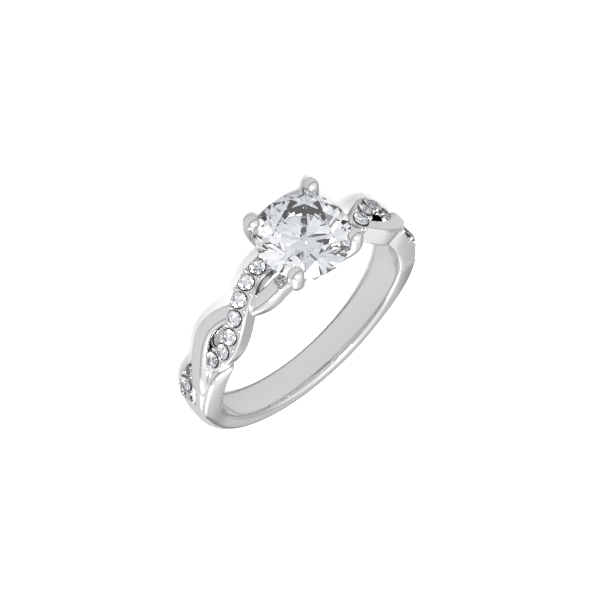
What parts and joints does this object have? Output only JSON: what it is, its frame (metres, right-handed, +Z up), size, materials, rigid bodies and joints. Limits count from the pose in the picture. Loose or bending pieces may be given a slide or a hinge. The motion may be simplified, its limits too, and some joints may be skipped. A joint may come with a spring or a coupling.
{
  "type": "twisted shank ring",
  "caption": "Solitaire finger ring with a round brilliant in a four-claw head, on a shank whose plain and paved strands twist together and merge into a polished lower band.",
  "frame": {"origin": "centre of the finger hole", "axes": "+Z up from the surface that the ring lies on, close to the finger axis; the centre stone faces -Y; X runs across the finger"},
  "size_m": [0.02, 0.0237, 0.0065],
  "materials": {
    "white_gold": "high polish",
    "diamond": "cut and polished facets"
  },
  "bodies": {
    "root": {"ring_mount": "white_gold", "centre_stone": "diamond"}
  },
  "joints": []
}
